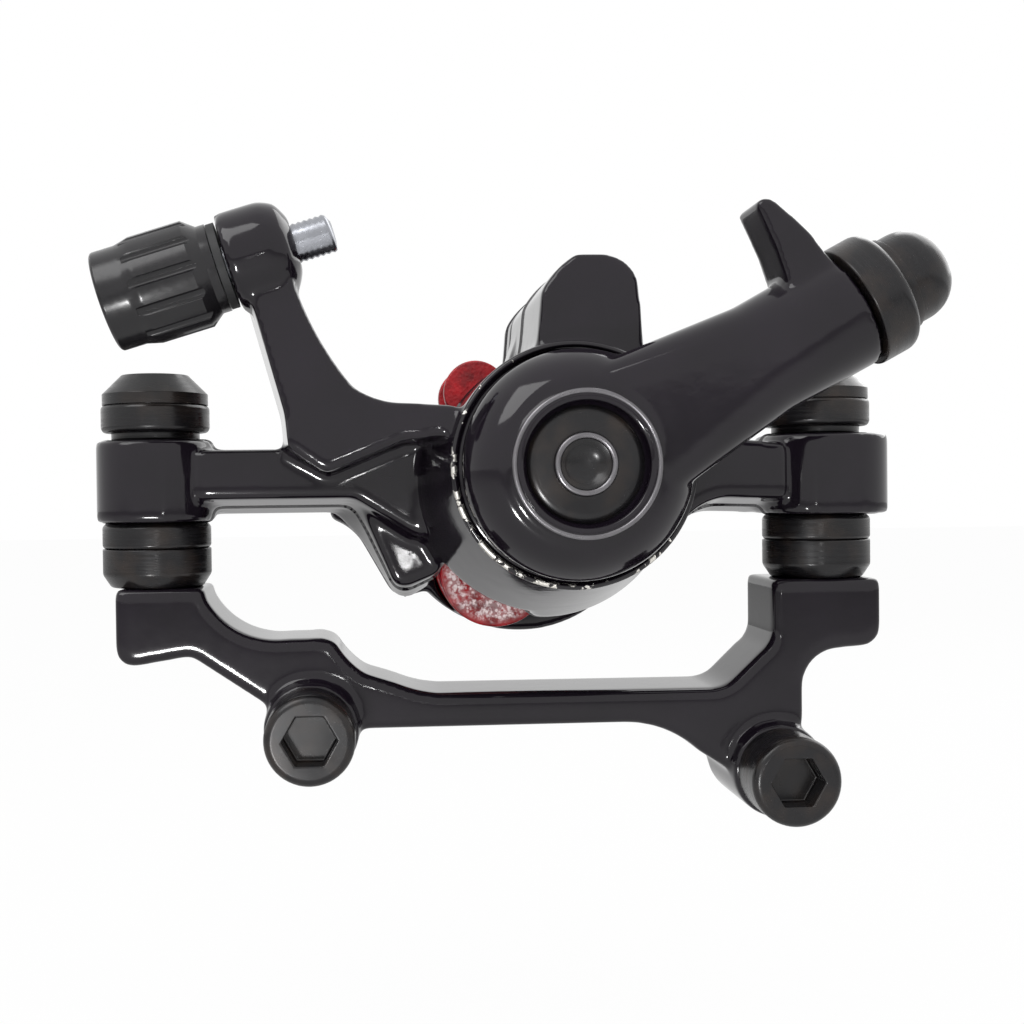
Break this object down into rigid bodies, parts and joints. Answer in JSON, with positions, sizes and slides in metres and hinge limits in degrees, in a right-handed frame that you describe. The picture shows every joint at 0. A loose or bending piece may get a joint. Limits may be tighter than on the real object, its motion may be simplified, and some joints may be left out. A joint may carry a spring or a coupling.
{
  "type": "mechanical disc brake caliper",
  "caption": "Cable-pulled bicycle disc brake caliper: a swinging lever turns a ball ramp that pushes the outer pad, on ball washers and a frame adapter.",
  "frame": {"origin": "midway between the two adapter boss faces that meet the frame's mounting tabs", "axes": "+X from the cable stop towards the lever tip, +Z away from the wheel axle, +Y inboard towards the wheel"},
  "size_m": [0.0876, 0.0526, 0.0654],
  "materials": {
    "black_casting": "gloss black enamel over cast aluminium",
    "black_steel": "black oxide steel",
    "zinc": "bright zinc plate",
    "red_plate": "red enamel on the pad's steel plate",
    "friction": "metallic brake compound",
    "black_plastic": "moulded black nylon",
    "bronze": "sintered bronze",
    "seal": "nitrile rubber",
    "steel": "ground steel",
    "spring_steel": "spring steel"
  },
  "bodies": {
    "adapter": {"adapter_bracket": "black_casting", "tab_bolts": "black_steel", "post_bolts": "black_steel", "lower_cup_washers": "black_steel", "upper_cup_washers": "black_steel"},
    "tilt_carrier": {"lower_ball_washers": "black_steel", "upper_ball_washers": "black_steel"},
    "caliper": {"outboard_body": "black_casting", "inboard_body": "black_casting", "body_bolt": "black_steel", "dowel_pins": "steel", "shaft_bush": "bronze", "thrust_washer": "steel", "dust_seal": "seal", "piston_key": "steel", "pad_spring": "spring_steel", "return_spring": "spring_steel"},
    "lever": {"lever_arm": "black_casting", "drive_cam": "steel", "ramp_balls": "steel", "lever_bolt": "black_steel"},
    "piston_unit": {"piston": "steel", "pad_magnet": "steel", "outer_pad_backing": "red_plate", "outer_pad_friction": "friction"},
    "adjuster": {"adjuster_dial": "black_plastic"},
    "inner_pad": {"adjuster_plunger": "steel", "inner_pad_backing": "red_plate", "inner_pad_friction": "friction"},
    "barrel_carrier": {"detent_ring": "seal"},
    "barrel": {"barrel_knob": "black_plastic", "barrel_screw": "zinc"},
    "clamp_carrier": {"clamp_washer": "black_steel"},
    "clamp": {"clamp_bolt": "black_steel"}
  },
  "joints": [
    {"name": "caliper_tilt", "type": "hinge", "parent": "adapter", "child": "tilt_carrier", "pos_m": [-0.0053, 0.007, 0.02957], "axis": [1, 0, 0], "range_deg": [-2, 2]},
    {"name": "caliper_slide", "type": "slide", "parent": "tilt_carrier", "child": "caliper", "axis": [0, 1, 0], "range_m": [-0.0012, 0.0012]},
    {"name": "lever_swing", "type": "hinge", "parent": "caliper", "child": "lever", "pos_m": [0.0013, 0, 0.0305], "axis": [0, -1, 0], "range_deg": [0, 36], "stiffness_Nm_per_rad": 0.3, "springref_deg": -17.19},
    {"name": "piston_travel", "type": "slide", "parent": "caliper", "child": "piston_unit", "axis": [0, 1, 0], "range_m": [0, 0.0014]},
    {"name": "adjuster_turn", "type": "hinge", "parent": "caliper", "child": "adjuster", "pos_m": [0.0013, 0, 0.0305], "axis": [0, 1, 0], "range_deg": [0, 540.3]},
    {"name": "inner_pad_travel", "type": "slide", "parent": "caliper", "child": "inner_pad", "axis": [0, -1, 0], "range_m": [0, 0.0014]},
    {"name": "barrel_travel", "type": "slide", "parent": "caliper", "child": "barrel_carrier", "axis": [-0.9558, 0, -0.294], "range_m": [0, 0.005]},
    {"name": "barrel_turn", "type": "hinge", "parent": "barrel_carrier", "child": "barrel", "pos_m": [-0.04037, -0.006, 0.04897], "axis": [-0.9558, 0, -0.294], "range_deg": [0, 2250.6]},
    {"name": "clamp_lift", "type": "slide", "parent": "lever", "child": "clamp_carrier", "axis": [0.8788, 0, 0.4772], "range_m": [0, 0.0015]},
    {"name": "clamp_turn", "type": "hinge", "parent": "clamp_carrier", "child": "clamp", "pos_m": [0.02747, -0.0156, 0.04517], "axis": [0.8788, 0, 0.4772], "range_deg": [0, 675.5]}
  ],
  "couplings": [
    {"joint": "piston_travel", "follows": "lever_swing", "m_per_rad": 0.0022282},
    {"joint": "adjuster_turn", "follows": "inner_pad_travel", "rad_per_m": 6732},
    {"joint": "barrel_turn", "follows": "barrel_travel", "rad_per_m": 7854},
    {"joint": "clamp_turn", "follows": "clamp_lift", "rad_per_m": 7854}
  ]
}
